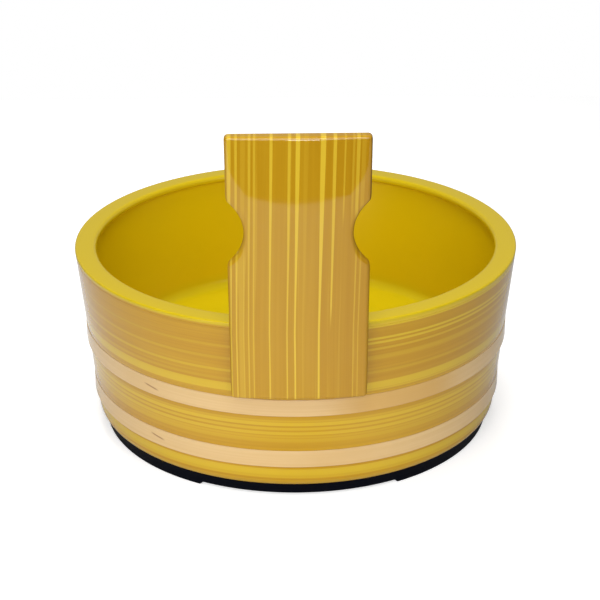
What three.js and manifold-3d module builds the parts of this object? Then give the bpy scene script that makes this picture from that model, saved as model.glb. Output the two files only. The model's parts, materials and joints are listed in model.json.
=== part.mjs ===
// Udon noodle bucket: a double-walled lacquered tub on a black footed base, with two bent wooden
// hoops let into its outside and one upright handle screwed to its wall.
// Millimetres, +Z up. The feet stand on z = 0 and the handle is on the -Y side.
// The origin lies under the middle of the whole outline, seen from above.

import * as THREE from 'three';
import { mergeVertices } from 'three/addons/utils/BufferGeometryUtils.js';
import Module from 'manifold-3d';

// Tub
const RIM_DIAMETER = 240;
const TUB_HEIGHT = 101.8;
const WALL_SLOPE = 0.102; // radius gained for each millimetre up the outside
const BOWL_SLOPE = 0.121; // and up the inside
const RIM_WIDTH = 11.7;
const RIM_OUTER_ROUND = 1.8;
const RIM_INNER_ROUND = 4;
const RIM_FLANGE = 3; // thickness of the rim where it covers the outer shell
const RIB_DEPTH = 5; // ring under the rim that centres the bowl in the shell
const RIB_WALL = 1.8;
const BOWL_WALL = 3.2;
const BOWL_DEPTH = 68; // from the rim to the floor inside
const FLOOR_FILLET = 6;
const SHELL_WALL = 3.4;
const SHELL_TOP_EDGE = 0.4;
const SHELL_ROUND_WIDTH = 3.6; // the rounded lower edge, across and up
const SHELL_ROUND_HEIGHT = 5.5;
const FIT = 0.3; // gap between pieces that touch

// Hoops
const HOOP_HEIGHT = 9.3;
const HOOP_THICKNESS = 2;
const HOOP_STAND = 0.5; // how far the upper edge of a hoop stands out from the wall
const HOOP_EDGE = 0.7;
const HOOP_JOINT_ANGLE = THREE.MathUtils.degToRad(35); // how far the joint leans from upright
const UPPER_HOOP_DROP = 42.3; // from the rim down to the upper hoop
const LOWER_HOOP_RISE = 12.2; // from the shell's lower edge up to the lower hoop

// Base
const FOOT_HEIGHT = 7.4;
const FOOT_INSET = 3; // how far the foot stands in from the wall
const FOOT_WIDTH = 8;
const FOOT_EDGE = 0.8;
const FOOT_COUNT = 3;
const NOTCH_ANGLE = THREE.MathUtils.degToRad(60);
const NOTCH_HEIGHT = 1.6;
const BASE_RECESS = 5.6; // from the table up to the plate between the feet
const BASE_PLATE = 2.6;
const SPIGOT_HEIGHT = 7; // ring of the base that stands inside the shell
const SPIGOT_WALL = 2.4;

// Handle
const HANDLE_WIDTH = 66.8;
const HANDLE_THICKNESS = 8.8; // at the middle
const HANDLE_CROWN = 155; // radius of the rounded front
const HANDLE_RISE = 101.9; // above the rim
const HANDLE_HOOP_GAP = 4.7;
const HANDLE_TOP_ROUND = 2;
const HANDLE_BOTTOM_ROUND = 1.6;
const HANDLE_FRONT_EDGE = 2;
const HANDLE_BACK_EDGE = 1;
const SEAT_DROP = 1; // the hollowed seat ends this far under the rim
const SEAT_LEDGE = 1;
const SCALLOP_RISE = 52.8; // from the rim to the middle of the finger scallops
const SCALLOP_LENGTH = 32.3;
const SCALLOP_DEPTH = 8;
const SCALLOP_SOFTNESS = 1.2; // rounds the corners where a scallop meets the side

// Screws that hold the handle
const SCREW_SPREAD = 18; // from the middle of the handle to each column of screws
const SCREW_EDGE = 7.5; // from the ends of the seat to the nearest screw
const SCREW_RADIUS = 2;
const SCREW_HEAD_RADIUS = 3.9;
const SCREW_HEAD_RIM = 0.3;
const SCREW_BITE = 5.5; // depth in the handle
const SCREW_TIP = 1.5;
const PAD_EDGE = 1.6; // land of the pad round the screw heads
const PAD_LAND = 0.4; // least depth of the pad under a screw head

// Fineness of the facets
const TURN_STEPS = 72;
const ROUND_STEPS = 2;
const SCREW_STEPS = 16;
const EDGE_STEPS = 3;
const FACE_STEPS = 4;
const END_STEPS = 4;
const SCALLOP_STEP = 1.6;
const NOTCH_STEPS = 12;

// Depth by which a cutting tool overshoots what it cuts
const OVERSHOOT = 4;
const MERGE_DISTANCE = 1e-3;

// Sizes that follow from those above
const LEAN = Math.atan(WALL_SLOPE);
const SLOPE_LENGTH = Math.hypot(1, WALL_SLOPE);
const BOWL_LEAN = Math.atan(BOWL_SLOPE);
const BOWL_SLOPE_LENGTH = Math.hypot(1, BOWL_SLOPE);
const UPPER_HOOP_BOTTOM = TUB_HEIGHT - UPPER_HOOP_DROP - HOOP_HEIGHT;
const SHELL_BOTTOM = FOOT_HEIGHT + FIT;
const SHELL_TOP = TUB_HEIGHT - RIM_FLANGE - FIT;
const LOWER_HOOP_BOTTOM = SHELL_BOTTOM + LOWER_HOOP_RISE;
const RIB_BOTTOM = TUB_HEIGHT - RIM_FLANGE - RIB_DEPTH;
const HANDLE_TOP = TUB_HEIGHT + HANDLE_RISE;
const HANDLE_BOTTOM = TUB_HEIGHT - UPPER_HOOP_DROP + HANDLE_HOOP_GAP;

const wasm = await Module();
wasm.setup();

// Radius of the tub's outside at height z. Above the rim the same slope carries on up the handle.
function wallRadius(z) {
  return RIM_DIAMETER / 2 - WALL_SLOPE * (TUB_HEIGHT - z);
}

// Radius of a face that lies this deep under the tub's outside, measured square to the wall.
function radiusUnder(depth, z) {
  return wallRadius(z) - depth * SLOPE_LENGTH;
}

// Radius of the inner face of the hoop whose lower edge is at this height. A hoop is a straight strip,
// so it stands further out from the tapered wall at its lower edge.
function hoopInside(bottom) {
  return wallRadius(bottom + HOOP_HEIGHT) + HOOP_STAND - HOOP_THICKNESS;
}

// How far a circle falls away from its tangent at a distance to the side.
function sag(radius, aside) {
  return radius - Math.sqrt(radius ** 2 - aside ** 2);
}

// One closed body: shared corners merged, collapsed triangles dropped, faces pointing out.
function closedBody(geometry) {
  const bare = new THREE.BufferGeometry();
  bare.setAttribute('position', geometry.getAttribute('position'));
  bare.setIndex(geometry.index);
  const body = mergeVertices(bare, MERGE_DISTANCE);
  const corners = Array.from(body.index.array);
  const point = (i) => new THREE.Vector3().fromBufferAttribute(body.getAttribute('position'), i);
  const triangles = [];
  let volume = 0;
  for (let i = 0; i < corners.length; i += 3) {
    const [a, b, c] = corners.slice(i, i + 3);
    if (a !== b && b !== c && c !== a) {
      triangles.push([a, b, c]);
      volume += point(a).dot(point(b).cross(point(c)));
    }
  }
  const outward = volume < 0 ? triangles.map(([a, b, c]) => [a, c, b]) : triangles;
  body.setIndex(outward.flat());
  body.computeVertexNormals();
  return body;
}

function toSolid(geometry) {
  const body = closedBody(geometry);
  const vertProperties = new Float32Array(body.getAttribute('position').array);
  const triVerts = new Uint32Array(body.index.array);
  return new wasm.Manifold(new wasm.Mesh({ numProp: 3, vertProperties, triVerts }));
}

function toGeometry(solid) {
  const { vertProperties, triVerts } = solid.getMesh();
  const geometry = new THREE.BufferGeometry();
  geometry.setAttribute('position', new THREE.BufferAttribute(vertProperties, 3));
  geometry.setIndex(new THREE.BufferAttribute(triVerts, 1));
  return geometry;
}

// Turns a profile of radius and height about the Z axis.
function revolve(profile, steps = TURN_STEPS, roundSteps = ROUND_STEPS) {
  return new THREE.LatheGeometry(profile.getPoints(roundSteps), steps).rotateX(Math.PI / 2);
}

// Skins a row of level rings, listed from the bottom up, each turning the same way. Each end is
// closed by a fan about the point halfway between the ring's first point and the opposite one.
function loft(rings) {
  const size = rings[0].length;
  const ends = [rings[0], rings.at(-1)];
  const points = rings.flat().concat(ends.map((ring) => ring[0].clone().lerp(ring[size / 2], 0.5)));
  const top = (rings.length - 1) * size;
  const bottomMiddle = top + size;
  const topMiddle = bottomMiddle + 1;
  const indices = [];
  for (let i = 0; i < size; i += 1) {
    const next = (i + 1) % size;
    indices.push(bottomMiddle, next, i);
    indices.push(topMiddle, top + i, top + next);
    for (let low = 0; low < top; low += size) {
      indices.push(low + i, low + next, low + size + next);
      indices.push(low + i, low + size + next, low + size + i);
    }
  }
  const geometry = new THREE.BufferGeometry().setFromPoints(points);
  geometry.setIndex(indices);
  return geometry;
}

function piece(name, geometry, material) {
  const mesh = new THREE.Mesh(closedBody(geometry), material);
  mesh.name = name;
  return mesh;
}

const yellowLacquer = new THREE.MeshStandardMaterial({ color: '#c9a51c', roughness: 0.35, metalness: 0 });
const streakedLacquer = new THREE.MeshStandardMaterial({ color: '#c3963c', roughness: 0.25, metalness: 0 });
const paleWood = new THREE.MeshStandardMaterial({ color: '#e4bb85', roughness: 0.45, metalness: 0 });
const blackLacquer = new THREE.MeshStandardMaterial({ color: '#1c1e27', roughness: 0.4, metalness: 0 });
const steel = new THREE.MeshStandardMaterial({ color: '#b8babd', roughness: 0.35, metalness: 1 });

// Inner bowl: floor, inside wall and rim in one. The rim lies over the shell's top edge, and the
// ring under it stands just inside the shell.
function innerBowl() {
  const floor = TUB_HEIGHT - BOWL_DEPTH;
  const inside = (z) => RIM_DIAMETER / 2 - RIM_WIDTH - BOWL_SLOPE * (TUB_HEIGHT - z);
  const filletHeight = floor + FLOOR_FILLET;
  const filletRadius = inside(filletHeight) - FLOOR_FILLET * BOWL_SLOPE_LENGTH;
  const innerHeight = TUB_HEIGHT - RIM_INNER_ROUND;
  const innerRadius = inside(innerHeight) + RIM_INNER_ROUND * BOWL_SLOPE_LENGTH;
  const outerHeight = TUB_HEIGHT - RIM_OUTER_ROUND;
  const outerRadius = radiusUnder(RIM_OUTER_ROUND, outerHeight);
  const underRim = TUB_HEIGHT - RIM_FLANGE;
  const ribOutside = (z) => radiusUnder(SHELL_WALL, z) - FIT;
  const wallOutside = inside(underRim) + BOWL_WALL * BOWL_SLOPE_LENGTH;

  const profile = new THREE.Path();
  profile.moveTo(0, floor);
  profile.lineTo(filletRadius, floor);
  profile.absarc(filletRadius, filletHeight, FLOOR_FILLET, -Math.PI / 2, -BOWL_LEAN, false);
  profile.absarc(innerRadius, innerHeight, RIM_INNER_ROUND, Math.PI - BOWL_LEAN, Math.PI / 2, true);
  profile.absarc(outerRadius, outerHeight, RIM_OUTER_ROUND, Math.PI / 2, -LEAN, true);
  profile.lineTo(wallRadius(underRim), underRim);
  profile.lineTo(ribOutside(underRim), underRim);
  profile.lineTo(ribOutside(RIB_BOTTOM), RIB_BOTTOM);
  profile.lineTo(ribOutside(RIB_BOTTOM) - RIB_WALL, RIB_BOTTOM);
  profile.lineTo(ribOutside(underRim) - RIB_WALL, underRim);
  profile.lineTo(wallOutside, underRim);
  profile.absarc(filletRadius, filletHeight, FLOOR_FILLET + BOWL_WALL, -BOWL_LEAN, -Math.PI / 2, true);
  profile.lineTo(0, floor - BOWL_WALL);
  return piece('inner_bowl', revolve(profile), yellowLacquer);
}

// Hoops: a band that lies in its groove, cut through on a bias at the back, where its ends meet.
function hoop(name, bottom) {
  const top = bottom + HOOP_HEIGHT;
  const inside = hoopInside(bottom);
  const edge = inside + HOOP_THICKNESS - HOOP_EDGE;

  const profile = new THREE.Path();
  profile.moveTo(inside, bottom);
  profile.lineTo(edge, bottom);
  profile.absarc(edge, bottom + HOOP_EDGE, HOOP_EDGE, -Math.PI / 2, 0, false);
  profile.absarc(edge, top - HOOP_EDGE, HOOP_EDGE, 0, Math.PI / 2, false);
  profile.lineTo(inside, top);
  profile.closePath();

  const joint = new THREE.BoxGeometry(FIT, HOOP_THICKNESS + 2 * OVERSHOOT, HOOP_HEIGHT * 2);
  joint.rotateY(HOOP_JOINT_ANGLE);
  joint.translate(0, inside, bottom + HOOP_HEIGHT / 2);
  const band = toSolid(revolve(profile, TURN_STEPS, 1)).subtract(toSolid(joint));
  return piece(name, toGeometry(band), paleWood);
}

// Base: plate, spigot and foot ring in one, with low gaps cut in the ring between the feet.
function base() {
  const foot = (z) => wallRadius(z) - FOOT_INSET;
  const footInside = foot(0) - FOOT_WIDTH;
  const spigot = (z) => radiusUnder(SHELL_WALL, z) - FIT;
  const spigotTop = FOOT_HEIGHT + SPIGOT_HEIGHT;
  const plateTop = BASE_RECESS + BASE_PLATE;

  const profile = new THREE.Path();
  profile.moveTo(0, BASE_RECESS);
  profile.lineTo(footInside, BASE_RECESS);
  profile.absarc(footInside + FOOT_EDGE, FOOT_EDGE, FOOT_EDGE, Math.PI, 1.5 * Math.PI, false);
  profile.absarc(foot(0) - FOOT_EDGE, FOOT_EDGE, FOOT_EDGE, -Math.PI / 2, 0, false);
  profile.lineTo(foot(FOOT_HEIGHT), FOOT_HEIGHT);
  profile.lineTo(spigot(FOOT_HEIGHT), FOOT_HEIGHT);
  profile.lineTo(spigot(spigotTop), spigotTop);
  profile.lineTo(spigot(spigotTop) - SPIGOT_WALL, spigotTop);
  profile.lineTo(spigot(plateTop) - SPIGOT_WALL, plateTop);
  profile.lineTo(0, plateTop);

  let body = toSolid(revolve(profile, TURN_STEPS, 1));
  for (let i = 0; i < FOOT_COUNT; i += 1) {
    const middle = -Math.PI / 2 + (i * 2 * Math.PI) / FOOT_COUNT;
    const from = middle - NOTCH_ANGLE / 2;
    const to = middle + NOTCH_ANGLE / 2;
    const sector = new THREE.Shape();
    sector.absarc(0, 0, foot(0) + OVERSHOOT, from, to, false);
    sector.absarc(0, 0, footInside - OVERSHOOT, to, from, true);
    const depth = NOTCH_HEIGHT + OVERSHOOT;
    const notch = new THREE.ExtrudeGeometry(sector, { depth, bevelEnabled: false, curveSegments: NOTCH_STEPS });
    body = body.subtract(toSolid(notch.translate(0, 0, -OVERSHOOT)));
  }
  return piece('base', toGeometry(body), blackLacquer);
}

// Fixing: the flat pad inside the shell, and a frame on its face whose +Z points out along the
// screws, through the wall and into the handle.
const SCREW_LOW = HANDLE_BOTTOM + SCREW_EDGE;
const SCREW_HIGH = RIB_BOTTOM - SCREW_EDGE;
const FIXING_HEIGHT = (SCREW_LOW + SCREW_HIGH) / 2;
const PAD_DEPTH = sag(radiusUnder(SHELL_WALL, FIXING_HEIGHT), SCREW_SPREAD + SCREW_HEAD_RADIUS) + PAD_LAND;
const SCREW_LENGTH = PAD_DEPTH + SHELL_WALL + FIT + SCREW_BITE - sag(wallRadius(FIXING_HEIGHT), SCREW_SPREAD);

const fixing = new THREE.Group();
fixing.position.set(0, -radiusUnder(SHELL_WALL + PAD_DEPTH, FIXING_HEIGHT), FIXING_HEIGHT);
fixing.rotation.x = Math.PI / 2 + LEAN;
fixing.updateMatrix();

const screwPlaces = [];
for (const up of [-1, 1]) {
  for (const side of [-1, 1]) {
    const along = (up * (SCREW_HIGH - SCREW_LOW) * SLOPE_LENGTH) / 2;
    screwPlaces.push(new THREE.Vector3(side * SCREW_SPREAD, along, 0));
  }
}

// A countersunk screw with its head's face at z = 0. Grown by a clearance and led in from behind
// the face, the same profile is the hole for it.
function screwProfile(clearance, lead) {
  const head = SCREW_HEAD_RADIUS + clearance;
  const shank = SCREW_RADIUS + clearance;
  const end = SCREW_LENGTH + clearance;
  const profile = new THREE.Path();
  profile.moveTo(0, -lead);
  profile.lineTo(head, -lead);
  profile.lineTo(head, SCREW_HEAD_RIM);
  profile.lineTo(shank, SCREW_HEAD_RIM + head - shank);
  profile.lineTo(shank, end - SCREW_TIP);
  profile.lineTo(shank - SCREW_TIP, end);
  profile.lineTo(0, end);
  return profile;
}

function drillForScrews(solid) {
  let drilled = solid;
  for (const place of screwPlaces) {
    const hole = revolve(screwProfile(FIT, OVERSHOOT), SCREW_STEPS);
    hole.translate(place.x, place.y, place.z);
    hole.applyMatrix4(fixing.matrix);
    drilled = drilled.subtract(toSolid(hole));
  }
  return drilled;
}

for (const [i, place] of screwPlaces.entries()) {
  const screw = piece(`handle_screw_${i + 1}`, revolve(screwProfile(0, 0), SCREW_STEPS), steel);
  screw.position.copy(place);
  fixing.add(screw);
}

// Outer shell: tapered wall with a groove for each hoop, a pad inside behind the handle, and the
// holes for the handle's screws.
function outerShell() {
  const inside = (z) => radiusUnder(SHELL_WALL, z);
  const roundTurn = Math.atan((WALL_SLOPE * SHELL_ROUND_HEIGHT) / SHELL_ROUND_WIDTH);
  const roundHeight = SHELL_BOTTOM + SHELL_ROUND_HEIGHT;
  const roundEnd = roundHeight - SHELL_ROUND_HEIGHT * Math.sin(roundTurn);
  const roundRadius = wallRadius(roundEnd) - SHELL_ROUND_WIDTH * Math.cos(roundTurn);
  const profile = new THREE.Path();
  profile.moveTo(inside(SHELL_BOTTOM), SHELL_BOTTOM);
  profile.lineTo(roundRadius, SHELL_BOTTOM);
  const radii = [SHELL_ROUND_WIDTH, SHELL_ROUND_HEIGHT];
  profile.absellipse(roundRadius, roundHeight, ...radii, -Math.PI / 2, -roundTurn, false, 0);
  for (const bottom of [LOWER_HOOP_BOTTOM, UPPER_HOOP_BOTTOM]) {
    const low = bottom - FIT;
    const high = bottom + HOOP_HEIGHT + FIT;
    profile.lineTo(wallRadius(low), low);
    profile.lineTo(hoopInside(bottom) - FIT, low);
    profile.lineTo(hoopInside(bottom) - FIT, high);
    profile.lineTo(wallRadius(high), high);
  }
  profile.lineTo(wallRadius(SHELL_TOP - SHELL_TOP_EDGE), SHELL_TOP - SHELL_TOP_EDGE);
  profile.lineTo(wallRadius(SHELL_TOP) - SHELL_TOP_EDGE, SHELL_TOP);
  profile.lineTo(inside(SHELL_TOP), SHELL_TOP);
  profile.closePath();

  const padWidth = 2 * (SCREW_SPREAD + SCREW_HEAD_RADIUS + PAD_EDGE);
  const padHeight = (SCREW_HIGH - SCREW_LOW + 2 * (SCREW_HEAD_RADIUS + PAD_EDGE)) * SLOPE_LENGTH;
  const padReach = PAD_DEPTH + SHELL_WALL;
  const block = new THREE.BoxGeometry(padWidth, padHeight, padReach);
  block.translate(0, 0, padReach / 2);
  block.applyMatrix4(fixing.matrix);

  // The pad is what of the block lies inside the middle of the wall.
  const core = new THREE.Path();
  core.moveTo(0, SHELL_BOTTOM);
  core.lineTo(radiusUnder(SHELL_WALL / 2, SHELL_BOTTOM), SHELL_BOTTOM);
  core.lineTo(radiusUnder(SHELL_WALL / 2, SHELL_TOP), SHELL_TOP);
  core.lineTo(0, SHELL_TOP);
  const pad = toSolid(block).intersect(toSolid(revolve(core)));
  const shell = drillForScrews(toSolid(revolve(profile)).add(pad));
  return piece('outer_shell', toGeometry(shell), streakedLacquer);
}

// Handle: a leaning board lofted through level sections. Its front is crowned. Its back is flat
// above the rim and hollowed to the wall below it. The scallops draw the sides in for the fingers.
const SCALLOP_RADIUS = (SCALLOP_LENGTH ** 2 / 4 + SCALLOP_DEPTH ** 2) / (2 * SCALLOP_DEPTH);
const SCALLOP_MIDDLE = TUB_HEIGHT + SCALLOP_RISE;
const SEAT_TOP = TUB_HEIGHT - SEAT_DROP;

function handleHalfWidth(z) {
  const along = Math.min(Math.abs(z - SCALLOP_MIDDLE), SCALLOP_RADIUS);
  const bite = SCALLOP_DEPTH - sag(SCALLOP_RADIUS, along);
  return HANDLE_WIDTH / 2 - (bite + Math.hypot(bite, SCALLOP_SOFTNESS)) / 2;
}

// Half the outline of one section, from the middle of the front round the right side to the middle
// of the back, and its mirror image. inset draws the whole outline in, to round off the ends.
function handleSection(z, inset) {
  const back = wallRadius(z) + FIT;
  const half = handleHalfWidth(z) - inset;
  const frontY = (x) => sag(HANDLE_CROWN, x) - back - HANDLE_THICKNESS + inset;
  const backY = (x) => (z > SEAT_TOP ? 0 : sag(back, x)) - back - inset;
  const right = [];
  for (let i = 0; i < FACE_STEPS; i += 1) {
    const x = ((half - HANDLE_FRONT_EDGE) * i) / FACE_STEPS;
    right.push(new THREE.Vector3(x, frontY(x), z));
  }
  for (let i = 0; i <= EDGE_STEPS; i += 1) {
    const turn = ((Math.PI / 2) * i) / EDGE_STEPS;
    const x = half - HANDLE_FRONT_EDGE * (1 - Math.sin(turn));
    right.push(new THREE.Vector3(x, frontY(x) + HANDLE_FRONT_EDGE * (1 - Math.cos(turn)), z));
  }
  for (let i = EDGE_STEPS; i >= 0; i -= 1) {
    const turn = ((Math.PI / 2) * i) / EDGE_STEPS;
    const x = half - HANDLE_BACK_EDGE * (1 - Math.sin(turn));
    right.push(new THREE.Vector3(x, backY(x) - HANDLE_BACK_EDGE * (1 - Math.cos(turn)), z));
  }
  for (let i = FACE_STEPS - 1; i >= 0; i -= 1) {
    const x = ((half - HANDLE_BACK_EDGE) * i) / FACE_STEPS;
    right.push(new THREE.Vector3(x, backY(x), z));
  }
  const left = right.slice(1, -1).reverse().map((p) => new THREE.Vector3(-p.x, p.y, p.z));
  return [...right, ...left];
}

function handle() {
  const rings = [];
  for (let i = 0; i <= END_STEPS; i += 1) {
    const turn = ((Math.PI / 2) * i) / END_STEPS;
    const up = HANDLE_BOTTOM_ROUND * (1 - Math.cos(turn));
    rings.push(handleSection(HANDLE_BOTTOM + up, HANDLE_BOTTOM_ROUND * (1 - Math.sin(turn))));
  }
  rings.push(handleSection(SEAT_TOP, 0));
  rings.push(handleSection(SEAT_TOP + SEAT_LEDGE, 0));
  const scallopSteps = Math.ceil(SCALLOP_RADIUS / SCALLOP_STEP);
  for (let i = -scallopSteps; i <= scallopSteps; i += 1) {
    rings.push(handleSection(SCALLOP_MIDDLE + (i * SCALLOP_RADIUS) / scallopSteps, 0));
  }
  for (let i = 0; i <= END_STEPS; i += 1) {
    const turn = ((Math.PI / 2) * i) / END_STEPS;
    const up = HANDLE_TOP_ROUND * (Math.sin(turn) - 1);
    rings.push(handleSection(HANDLE_TOP + up, HANDLE_TOP_ROUND * (1 - Math.cos(turn))));
  }
  return piece('handle', toGeometry(drillForScrews(toSolid(loft(rings)))), streakedLacquer);
}

// The tub's axis stands back from the origin by half of what the handle adds to the outline.
const HANDLE_REACH = wallRadius(HANDLE_TOP - HANDLE_TOP_ROUND) + FIT + HANDLE_THICKNESS;
const tub = new THREE.Group();
tub.position.y = (HANDLE_REACH - RIM_DIAMETER / 2) / 2;
tub.add(base());
tub.add(outerShell());
tub.add(hoop('lower_hoop', LOWER_HOOP_BOTTOM));
tub.add(hoop('upper_hoop', UPPER_HOOP_BOTTOM));
tub.add(handle());
tub.add(fixing);
tub.add(innerBowl());

const bucket = new THREE.Group();
bucket.add(tub);
export default bucket;
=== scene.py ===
# Udon noodle bucket: the finish of a lacquered serving tub, piece by piece as it is put together.
# Metres, +Z up. The feet stand on z = 0 and the handle is on the -Y side.

import json
import math

import bmesh
import bpy
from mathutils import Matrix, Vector

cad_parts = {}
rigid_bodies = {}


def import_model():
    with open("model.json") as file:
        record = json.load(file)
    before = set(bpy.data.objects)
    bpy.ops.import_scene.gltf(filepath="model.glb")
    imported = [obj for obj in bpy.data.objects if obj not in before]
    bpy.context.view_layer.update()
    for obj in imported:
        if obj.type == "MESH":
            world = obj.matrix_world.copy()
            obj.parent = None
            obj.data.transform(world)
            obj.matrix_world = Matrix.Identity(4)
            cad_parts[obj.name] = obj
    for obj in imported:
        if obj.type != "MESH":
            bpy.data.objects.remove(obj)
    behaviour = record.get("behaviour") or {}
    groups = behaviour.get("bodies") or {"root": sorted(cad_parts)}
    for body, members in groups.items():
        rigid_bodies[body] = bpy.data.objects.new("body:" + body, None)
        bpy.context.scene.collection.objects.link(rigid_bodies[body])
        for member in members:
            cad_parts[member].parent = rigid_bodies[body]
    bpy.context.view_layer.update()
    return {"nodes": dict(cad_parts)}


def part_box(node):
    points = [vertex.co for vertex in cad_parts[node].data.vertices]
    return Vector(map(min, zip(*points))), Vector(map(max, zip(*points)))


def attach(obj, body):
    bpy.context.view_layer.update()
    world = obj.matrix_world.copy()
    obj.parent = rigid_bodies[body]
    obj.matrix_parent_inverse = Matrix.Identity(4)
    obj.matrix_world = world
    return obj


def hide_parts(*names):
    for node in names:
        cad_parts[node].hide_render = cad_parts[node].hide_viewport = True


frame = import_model()

# Base: a plate that closes the tub's bottom with a foot ring round it, moulded in one.
# It is satin black. Its spigot is glued inside the outer shell, and three low gaps in the ring
# leave three feet to stand on.
RIM_RADIUS = 0.120
WALL_SLOPE = 0.102  # radius gained for each metre up the outside
TUB_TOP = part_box("inner_bowl")[1].z
AXIS_Y = sum(corner.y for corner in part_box("inner_bowl")) / 2
AXIS = Vector((0, AXIS_Y, 0))
SHELL_WALL = 0.0034
FIT = 0.0003  # gap between pieces that touch
RING_STEPS = 360
POLE_RADIUS = 0.004  # ring that closes a turned piece at its axis
SMOOTH_ANGLE = math.radians(35)
NEAR = 1e-5

FOOT_HEIGHT = 0.0074
FOOT_INSET = 0.003
FOOT_WIDTH = 0.008
FOOT_EDGE = 0.0008
GAP_MIDDLES = [math.radians(turn) for turn in (-90, 30, 150)]
GAP_HALF_ANGLE = math.radians(28.8)
GAP_HEIGHT = 0.0016
PLATE_BOTTOM = 0.0056
PLATE_TOP = 0.0082
SPIGOT_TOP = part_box("base")[1].z
SPIGOT_WALL = 0.0024


def wall_radius(height):
    """Radius of the tub's outside at a height."""
    return RIM_RADIUS - WALL_SLOPE * (TUB_TOP - height)


def inside_shell(height):
    """Radius of the outer shell's inner face at a height."""
    return wall_radius(height) - SHELL_WALL * math.hypot(1, WALL_SLOPE)


def turned_piece(name, profile):
    """Adds a circle and extrudes it through the (radius, height) points of a profile, as on a lathe."""
    bpy.ops.object.select_all(action="DESELECT")
    radius, height = profile[0]
    place = (0, AXIS_Y, height)
    bpy.ops.mesh.primitive_circle_add(vertices=RING_STEPS, radius=radius, location=place)
    piece = bpy.context.object
    piece.name = piece.data.name = name
    bpy.ops.object.mode_set(mode="EDIT")
    bpy.ops.mesh.select_mode(type="EDGE")
    bpy.ops.mesh.select_all(action="SELECT")
    for next_radius, next_height in profile[1:]:
        rise = {"value": (0, 0, next_height - height)}
        bpy.ops.mesh.extrude_region_move(TRANSFORM_OT_translate=rise)
        grow = next_radius / radius
        bpy.ops.transform.resize(value=(grow, grow, 1), center_override=(0, AXIS_Y, next_height))
        radius, height = next_radius, next_height
    bpy.ops.object.mode_set(mode="OBJECT")
    bpy.ops.object.transform_apply(location=True)
    return piece


def select_edges(piece, wanted):
    """Opens a piece in edit mode with only the edges that pass a test selected."""
    bpy.ops.object.mode_set(mode="EDIT")
    bpy.ops.mesh.select_mode(type="EDGE")
    bpy.ops.mesh.select_all(action="DESELECT")
    mesh = bmesh.from_edit_mesh(piece.data)
    for edge in mesh.edges:
        edge.select_set(wanted(edge))
    bmesh.update_edit_mesh(piece.data)


def select_corners(piece, wanted):
    """Opens a piece in edit mode with only the corners that pass a test selected."""
    bpy.ops.object.mode_set(mode="EDIT")
    bpy.ops.mesh.select_mode(type="VERT")
    bpy.ops.mesh.select_all(action="DESELECT")
    mesh = bmesh.from_edit_mesh(piece.data)
    for corner in mesh.verts:
        corner.select_set(wanted(corner.co))
    bmesh.update_edit_mesh(piece.data)


def on_ring(radius, height):
    """A test for the edges of one ring of a turned piece."""
    def wanted(edge):
        ends = [corner.co - AXIS for corner in edge.verts]
        return all(abs(end.z - height) < NEAR and abs(end.xy.length - radius) < NEAR for end in ends)
    return wanted


def round_ring(piece, ring, width, segments):
    """Rounds off the edge of a turned piece at a (radius, height)."""
    select_edges(piece, on_ring(*ring))
    bpy.ops.mesh.bevel(offset=width, segments=segments, affect="EDGES")
    bpy.ops.object.mode_set(mode="OBJECT")


def close_pole(piece, height):
    """Fills the small ring left open at the axis."""
    select_edges(piece, on_ring(POLE_RADIUS, height))
    bpy.ops.mesh.edge_face_add()
    bpy.ops.object.mode_set(mode="OBJECT")


def join_ends(piece, first, last):
    """Bridges the first and last rings of a turned piece that goes right round."""
    select_edges(piece, lambda edge: on_ring(*first)(edge) or on_ring(*last)(edge))
    bpy.ops.mesh.bridge_edge_loops()
    bpy.ops.object.mode_set(mode="OBJECT")


def finish_mesh(piece):
    """Merges doubles, turns faces outwards, smooths all but the sharp edges and evens the flats."""
    bpy.ops.object.select_all(action="DESELECT")
    piece.select_set(True)
    bpy.context.view_layer.objects.active = piece
    bpy.ops.object.mode_set(mode="EDIT")
    bpy.ops.mesh.select_all(action="SELECT")
    bpy.ops.mesh.remove_doubles(threshold=NEAR)
    bpy.ops.mesh.normals_make_consistent(inside=False)
    bpy.ops.object.mode_set(mode="OBJECT")
    bpy.ops.object.shade_smooth_by_angle(angle=SMOOTH_ANGLE)
    flatten = piece.modifiers.new("flatten", "WEIGHTED_NORMAL")
    flatten.keep_sharp = True
    bpy.ops.object.modifier_apply(modifier=flatten.name)


def srgb(red, green, blue):
    """A colour as seen on a screen, 0 to 255, as linear light."""
    def linear(level):
        share = level / 255
        return share / 12.92 if share <= 0.04045 else ((share + 0.055) / 1.055) ** 2.4
    return (linear(red), linear(green), linear(blue), 1)


def feed(tree, socket, source):
    """Links a socket into another, or sets it to a plain value."""
    if isinstance(source, bpy.types.NodeSocket):
        tree.links.new(source, socket)
    elif source is not None:
        socket.default_value = source


def add_node(tree, kind, *sources, **settings):
    """Adds a node with its settings, and feeds its inputs in order."""
    node = tree.nodes.new(kind)
    for name, value in settings.items():
        setattr(node, name, value)
    for socket, source in zip(node.inputs, sources):
        feed(tree, socket, source)
    return node


def calc(tree, operation, *values, clamp=False):
    """The result of a Math node."""
    return add_node(tree, "ShaderNodeMath", *values, operation=operation, use_clamp=clamp).outputs[0]


def spread(tree, value, low, high, to_low=0, to_high=1):
    """A value mapped smoothly from one range to another."""
    ends = (value, low, high, to_low, to_high)
    return add_node(tree, "ShaderNodeMapRange", *ends, interpolation_type="SMOOTHSTEP").outputs[0]


def cloudy(tree, place, scale, detail):
    """A soft, uneven value over the surface."""
    return add_node(tree, "ShaderNodeTexNoise", place, None, scale, detail).outputs["Fac"]


def mix_colour(tree, share, first, second):
    """One colour laid over another by a share."""
    node = add_node(tree, "ShaderNodeMix", data_type="RGBA")
    sources = {"Factor_Float": share, "A_Color": first, "B_Color": second}
    for socket in node.inputs:
        feed(tree, socket, sources.get(socket.identifier))
    return next(socket for socket in node.outputs if socket.identifier == "Result_Color")


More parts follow.
